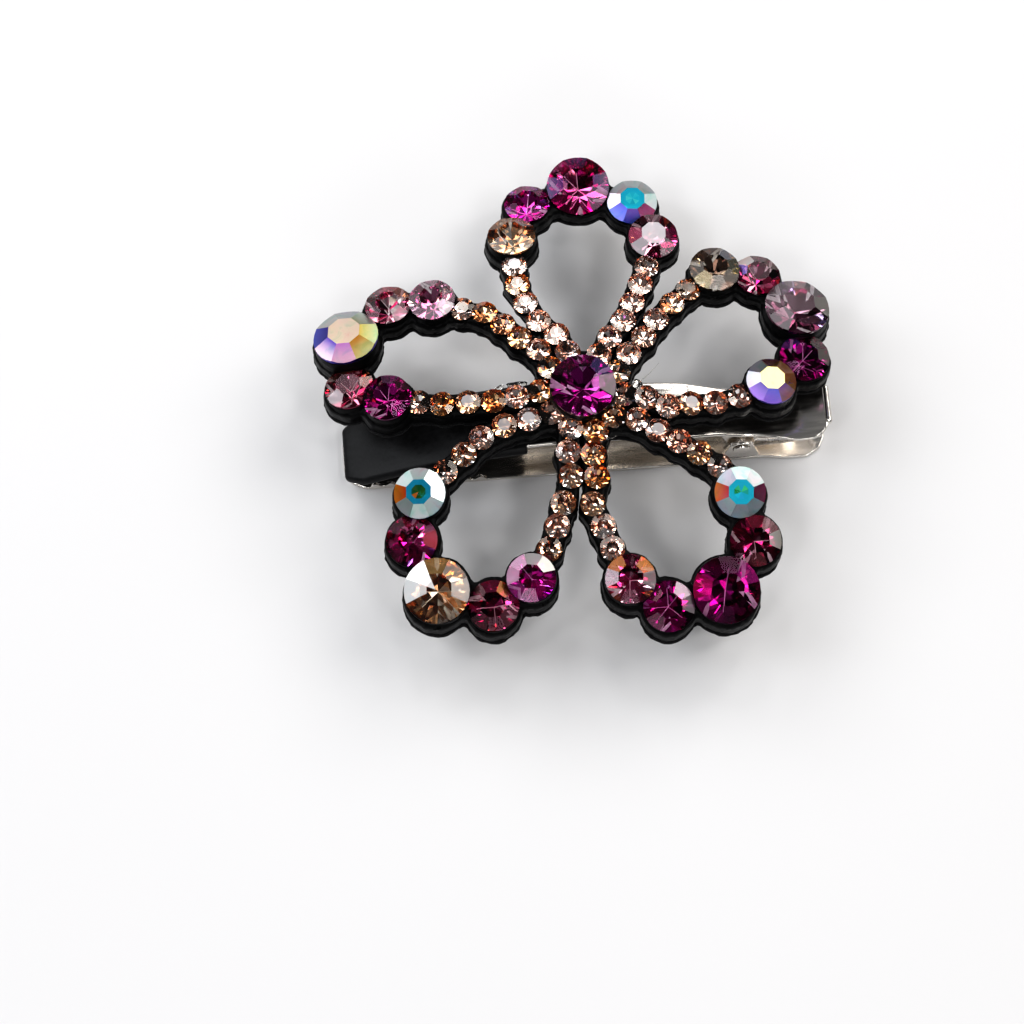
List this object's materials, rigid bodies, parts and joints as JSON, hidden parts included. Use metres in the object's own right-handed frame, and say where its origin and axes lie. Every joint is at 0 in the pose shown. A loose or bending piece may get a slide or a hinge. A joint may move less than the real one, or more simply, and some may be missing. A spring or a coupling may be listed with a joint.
{
  "type": "alligator hair clip",
  "caption": "Alligator hair clip: open five-petal rhinestone flower on an arched sprung upper jaw over a flat toothed lower jaw.",
  "frame": {"origin": "on the flat underside of the lower jaw, under the middle of the box around the whole clip", "axes": "+X along the clip towards its thumb tabs, +Y towards the top petal, +Z from the lower jaw up through the flower"},
  "size_m": [0.0656, 0.0652, 0.0177],
  "materials": {
    "steel": "polished nickel plate",
    "spring_wire": "drawn wire",
    "sleeve_rubber": "semi-gloss black rubber",
    "glue": "clear to milky glue",
    "black_setting": "black enamel, satin to gloss",
    "felt": "black felt",
    "stone_fuchsia": "faceted, foil-backed",
    "stone_dark_fuchsia": "faceted, foil-backed",
    "stone_rose": "faceted, foil-backed",
    "stone_light_rose": "faceted, foil-backed",
    "stone_peach": "faceted, foil-backed",
    "stone_topaz": "faceted, foil-backed",
    "stone_aurora": "faceted, foil-backed, iridescent coat"
  },
  "bodies": {
    "lower_clip": {"lower_jaw": "steel", "hinge_pin": "steel", "torsion_spring": "spring_wire"},
    "upper_clip": {"upper_jaw": "steel", "rubber_sleeve": "sleeve_rubber", "mounting_disc": "steel", "glue_pad": "glue", "hub": "black_setting", "petal_top": "black_setting", "petal_right": "black_setting", "petal_left": "black_setting", "petal_lower_left": "black_setting", "petal_lower_right": "black_setting", "felt_top": "felt", "felt_right": "felt", "felt_left": "felt", "felt_lower_left": "felt", "felt_lower_right": "felt", "stone_centre": "stone_fuchsia", "stone_top_1": "stone_peach", "stone_top_2": "stone_fuchsia", "stone_top_3": "stone_fuchsia", "stone_top_4": "stone_aurora", "stone_top_5": "stone_light_rose", "stone_right_1": "stone_topaz", "stone_right_2": "stone_rose", "stone_right_3": "stone_light_rose", "stone_right_4": "stone_dark_fuchsia", "stone_right_5": "stone_aurora", "stone_left_1": "stone_light_rose", "stone_left_2": "stone_rose", "stone_left_3": "stone_aurora", "stone_left_4": "stone_light_rose", "stone_left_5": "stone_dark_fuchsia", "stone_lower_left_1": "stone_aurora", "stone_lower_left_2": "stone_rose", "stone_lower_left_3": "stone_peach", "stone_lower_left_4": "stone_rose", "stone_lower_left_5": "stone_fuchsia", "stone_lower_right_1": "stone_aurora", "stone_lower_right_2": "stone_rose", "stone_lower_right_3": "stone_dark_fuchsia", "stone_lower_right_4": "stone_rose", "stone_lower_right_5": "stone_rose", "stones_top_left_arm": "stone_peach", "stones_top_right_arm": "stone_peach", "stones_left_upper_arm": "stone_peach", "stones_left_lower_arm": "stone_peach", "stones_right_upper_arm": "stone_peach", "stones_right_lower_arm": "stone_peach", "stones_lower_left_outer_arm": "stone_peach", "stones_lower_left_inner_arm": "stone_peach", "stones_lower_right_outer_arm": "stone_peach", "stones_lower_right_inner_arm": "stone_peach"}
  },
  "joints": [
    {"name": "jaw_hinge", "type": "hinge", "parent": "lower_clip", "child": "upper_clip", "pos_m": [0.02047, -0.00285, 0.0036], "axis": [0, 1, 0], "range_deg": [0, 26], "stiffness_Nm_per_rad": 0.06, "springref_deg": -57.3, "deforming": ["torsion_spring"]}
  ]
}
